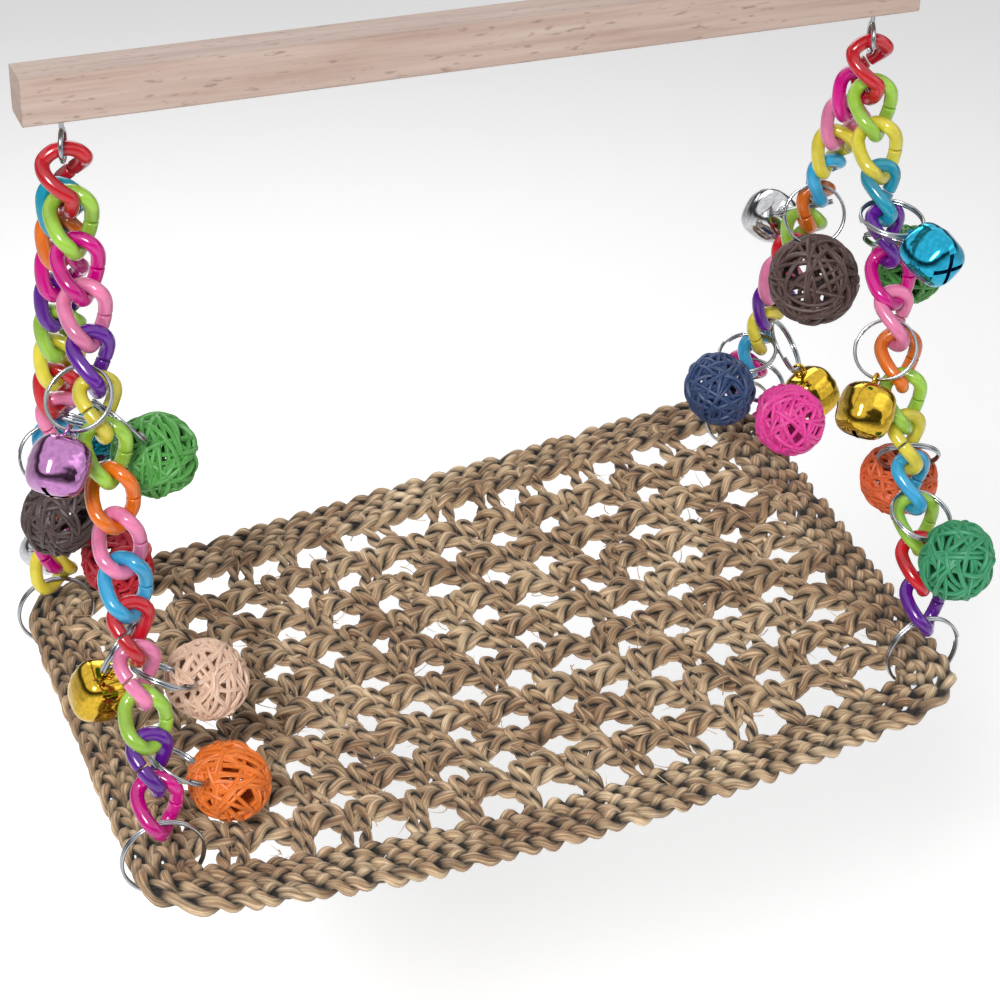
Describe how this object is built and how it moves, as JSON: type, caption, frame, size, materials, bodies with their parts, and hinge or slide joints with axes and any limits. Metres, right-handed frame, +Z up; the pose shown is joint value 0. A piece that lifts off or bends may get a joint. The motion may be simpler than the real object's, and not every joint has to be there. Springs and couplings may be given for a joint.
{
  "type": "bird hammock",
  "caption": "Woven seagrass mat slung by chains of twisted plastic links from screw eyes under a wooden bar, with rattan balls and jingle bells on split rings.",
  "frame": {"origin": "middle of the wooden bar's top face", "axes": "+Z up, out of the bar's top face; +X along the bar to the right; +Y from the front of the mat to its back"},
  "size_m": [0.4434, 0.2782, 0.3414],
  "materials": {
    "pale_wood": "planed and unvarnished",
    "steel_wire": "bright",
    "seagrass_rope": "dry twisted grass",
    "red_link_plastic": "glossy",
    "lime_link_plastic": "glossy",
    "sky_link_plastic": "glossy",
    "yellow_link_plastic": "glossy",
    "purple_link_plastic": "glossy",
    "mauve_bell_metal": "plated, mirror bright",
    "green_rattan": "dyed, matt",
    "gold_bell_metal": "plated, mirror bright",
    "natural_rattan": "dyed, matt",
    "orange_rattan": "dyed, matt",
    "teal_bell_metal": "plated, mirror bright",
    "brown_rattan": "dyed, matt",
    "silver_bell_metal": "plated, mirror bright",
    "crimson_rattan": "dyed, matt",
    "umber_rattan": "dyed, matt",
    "navy_rattan": "dyed, matt",
    "pink_rattan": "dyed, matt",
    "cyan_bell_metal": "plated, mirror bright",
    "deep_orange_rattan": "dyed, matt",
    "emerald_rattan": "dyed, matt"
  },
  "bodies": {
    "hanger": {"hanger_bar": "pale_wood", "left_screw_eye": "steel_wire", "right_screw_eye": "steel_wire"},
    "top_links": {"left_top_link": "red_link_plastic", "right_top_link": "red_link_plastic"},
    "left_chains": {"front_left_chain": "lime_link_plastic", "back_left_chain": "sky_link_plastic"},
    "front_right_chain": {"front_right_chain": "yellow_link_plastic"},
    "back_right_chain": {"back_right_chain": "purple_link_plastic"},
    "hammock_mat": {"mat": "seagrass_rope", "front_left_corner_ring": "steel_wire", "back_left_corner_ring": "steel_wire", "front_right_corner_ring": "steel_wire", "back_right_corner_ring": "steel_wire"},
    "front_left_mauve_bell_toy": {"front_left_mauve_bell_ring": "steel_wire", "front_left_mauve_bell": "mauve_bell_metal", "front_left_mauve_pellet": "steel_wire"},
    "front_left_green_ball_toy": {"front_left_green_ball_ring": "steel_wire", "front_left_green_ball": "green_rattan"},
    "front_left_gold_bell_toy": {"front_left_gold_bell_ring": "steel_wire", "front_left_gold_bell": "gold_bell_metal", "front_left_gold_pellet": "steel_wire"},
    "front_left_natural_ball_toy": {"front_left_natural_ball_ring": "steel_wire", "front_left_natural_ball": "natural_rattan"},
    "front_left_orange_ball_toy": {"front_left_orange_ball_ring": "steel_wire", "front_left_orange_ball": "orange_rattan"},
    "back_left_teal_bell_toy": {"back_left_teal_bell_ring": "steel_wire", "back_left_teal_bell": "teal_bell_metal", "back_left_teal_pellet": "steel_wire"},
    "back_left_brown_ball_toy": {"back_left_brown_ball_ring": "steel_wire", "back_left_brown_ball": "brown_rattan"},
    "back_left_silver_bell_toy": {"back_left_silver_bell_ring": "steel_wire", "back_left_silver_bell": "silver_bell_metal", "back_left_silver_pellet": "steel_wire"},
    "back_left_crimson_ball_toy": {"back_left_crimson_ball_ring": "steel_wire", "back_left_crimson_ball": "crimson_rattan"},
    "back_right_silver_bell_toy": {"back_right_silver_bell_ring": "steel_wire", "back_right_silver_bell": "silver_bell_metal", "back_right_silver_pellet": "steel_wire"},
    "back_right_umber_ball_toy": {"back_right_umber_ball_ring": "steel_wire", "back_right_umber_ball": "umber_rattan"},
    "back_right_gold_bell_toy": {"back_right_gold_bell_ring": "steel_wire", "back_right_gold_bell": "gold_bell_metal", "back_right_gold_pellet": "steel_wire"},
    "back_right_navy_ball_toy": {"back_right_navy_ball_ring": "steel_wire", "back_right_navy_ball": "navy_rattan"},
    "back_right_pink_ball_toy": {"back_right_pink_ball_ring": "steel_wire", "back_right_pink_ball": "pink_rattan"},
    "front_right_cyan_bell_toy": {"front_right_cyan_bell_ring": "steel_wire", "front_right_cyan_bell": "cyan_bell_metal", "front_right_cyan_pellet": "steel_wire"},
    "front_right_green_ball_toy": {"front_right_green_ball_ring": "steel_wire", "front_right_green_ball": "green_rattan"},
    "front_right_gold_bell_toy": {"front_right_gold_bell_ring": "steel_wire", "front_right_gold_bell": "gold_bell_metal", "front_right_gold_pellet": "steel_wire"},
    "front_right_deep_orange_ball_toy": {"front_right_deep_orange_ball_ring": "steel_wire", "front_right_deep_orange_ball": "deep_orange_rattan"},
    "front_right_emerald_ball_toy": {"front_right_emerald_ball_ring": "steel_wire", "front_right_emerald_ball": "emerald_rattan"}
  },
  "joints": [
    {"name": "hammock_swing", "type": "hinge", "parent": "hanger", "child": "top_links", "pos_m": [0, 0, -0.0382], "axis": [1, 0, 0], "range_deg": [-20, 20]},
    {"name": "left_chains_sway", "type": "hinge", "parent": "top_links", "child": "left_chains", "pos_m": [-0.181, 0, -0.0619], "axis": [0, 1, 0], "range_deg": [-8, 8]},
    {"name": "mat_sway", "type": "hinge", "parent": "left_chains", "child": "hammock_mat", "pos_m": [-0.181, 0, -0.30095], "axis": [0, 1, 0], "range_deg": [-9, 9]},
    {"name": "front_right_chain_sway", "type": "hinge", "parent": "top_links", "child": "front_right_chain", "pos_m": [0.181, 0, -0.0619], "axis": [0, 1, 0], "range_deg": [-9.77, 9.77]},
    {"name": "back_right_chain_sway", "type": "hinge", "parent": "top_links", "child": "back_right_chain", "pos_m": [0.181, 0, -0.0619], "axis": [0, 1, 0], "range_deg": [-10.69, 10.69]},
    {"name": "front_left_mauve_bell_swing", "type": "hinge", "parent": "left_chains", "child": "front_left_mauve_bell_toy", "pos_m": [-0.18347, -0.03116, -0.11653], "axis": [-0.766, 0.6428, 0], "range_deg": [0, 40]},
    {"name": "front_left_green_ball_swing", "type": "hinge", "parent": "left_chains", "child": "front_left_green_ball_toy", "pos_m": [-0.17979, -0.03124, -0.13531], "axis": [0.342, -0.9397, 0], "range_deg": [0, 40]},
    {"name": "front_left_gold_bell_swing", "type": "hinge", "parent": "left_chains", "child": "front_left_gold_bell_toy", "pos_m": [-0.17906, -0.06115, -0.22352], "axis": [0.6428, 0.766, 0], "range_deg": [0, 40]},
    {"name": "front_left_natural_ball_swing", "type": "hinge", "parent": "left_chains", "child": "front_left_natural_ball_toy", "pos_m": [-0.17963, -0.07297, -0.24102], "axis": [0.4384, -0.8988, 0], "range_deg": [0, 40]},
    {"name": "front_left_orange_ball_swing", "type": "hinge", "parent": "left_chains", "child": "front_left_orange_ball_toy", "pos_m": [-0.17998, -0.0852, -0.27601], "axis": [0.1045, -0.9945, 0], "range_deg": [0, 11]},
    {"name": "back_left_teal_bell_swing", "type": "hinge", "parent": "left_chains", "child": "back_left_teal_bell_toy", "pos_m": [-0.17853, 0.05868, -0.18695], "axis": [0.766, -0.6428, 0], "range_deg": [0, 40]},
    {"name": "back_left_brown_ball_swing", "type": "hinge", "parent": "left_chains", "child": "back_left_brown_ball_toy", "pos_m": [-0.18646, 0.05524, -0.19019], "axis": [-1, 0, 0], "range_deg": [0, 40]},
    {"name": "back_left_silver_bell_swing", "type": "hinge", "parent": "left_chains", "child": "back_left_silver_bell_toy", "pos_m": [-0.17531, 0.09323, -0.27691], "axis": [0.9976, 0.0698, 0], "range_deg": [0, 40]},
    {"name": "back_left_crimson_ball_swing", "type": "hinge", "parent": "left_chains", "child": "back_left_crimson_ball_toy", "pos_m": [-0.17872, 0.09117, -0.25234], "axis": [-0.4067, -0.9135, 0], "range_deg": [0, 14]},
    {"name": "back_right_silver_bell_swing", "type": "hinge", "parent": "back_right_chain", "child": "back_right_silver_bell_toy", "pos_m": [0.18699, 0.04383, -0.13364], "axis": [0.9848, 0.1736, 0], "range_deg": [0, 40]},
    {"name": "back_right_umber_ball_swing", "type": "hinge", "parent": "back_right_chain", "child": "back_right_umber_ball_toy", "pos_m": [0.17704, 0.03187, -0.11732], "axis": [-0.9511, 0.309, 0], "range_deg": [0, 12]},
    {"name": "back_right_gold_bell_swing", "type": "hinge", "parent": "back_right_chain", "child": "back_right_gold_bell_toy", "pos_m": [0.18922, 0.08546, -0.21908], "axis": [-0.5, -0.866, 0], "range_deg": [0, 40]},
    {"name": "back_right_navy_ball_swing", "type": "hinge", "parent": "back_right_chain", "child": "back_right_navy_ball_toy", "pos_m": [0.17931, 0.07804, -0.21897], "axis": [-0.5592, 0.829, 0], "range_deg": [0, 25]},
    {"name": "back_right_pink_ball_swing", "type": "hinge", "parent": "back_right_chain", "child": "back_right_pink_ball_toy", "pos_m": [0.1742, 0.08823, -0.23836], "axis": [-0.9613, -0.2756, 0], "range_deg": [0, 20]},
    {"name": "front_right_cyan_bell_swing", "type": "hinge", "parent": "front_right_chain", "child": "front_right_cyan_bell_toy", "pos_m": [0.17499, -0.02605, -0.10027], "axis": [-0.9848, -0.1736, 0], "range_deg": [0, 40]},
    {"name": "front_right_green_ball_swing", "type": "hinge", "parent": "front_right_chain", "child": "front_right_green_ball_toy", "pos_m": [0.18291, -0.02787, -0.11735], "axis": [0.6428, -0.766, 0], "range_deg": [0, 40]},
    {"name": "front_right_gold_bell_swing", "type": "hinge", "parent": "front_right_chain", "child": "front_right_gold_bell_toy", "pos_m": [0.17925, -0.04838, -0.14951], "axis": [-0.6428, 0.766, 0], "range_deg": [0, 40]},
    {"name": "front_right_deep_orange_ball_swing", "type": "hinge", "parent": "front_right_chain", "child": "front_right_deep_orange_ball_toy", "pos_m": [0.1848, -0.06655, -0.20513], "axis": [0.9397, -0.342, 0], "range_deg": [0, 40]},
    {"name": "front_right_emerald_ball_swing", "type": "hinge", "parent": "front_right_chain", "child": "front_right_emerald_ball_toy", "pos_m": [0.17478, -0.07809, -0.22199], "axis": [-0.9703, -0.2419, 0], "range_deg": [0, 40]}
  ],
  "couplings": [
    {"joint": "mat_sway", "follows": "left_chains_sway", "ratio": -1},
    {"joint": "front_right_chain_sway", "follows": "left_chains_sway", "ratio": 1.0959},
    {"joint": "back_right_chain_sway", "follows": "left_chains_sway", "ratio": 1.2108}
  ]
}
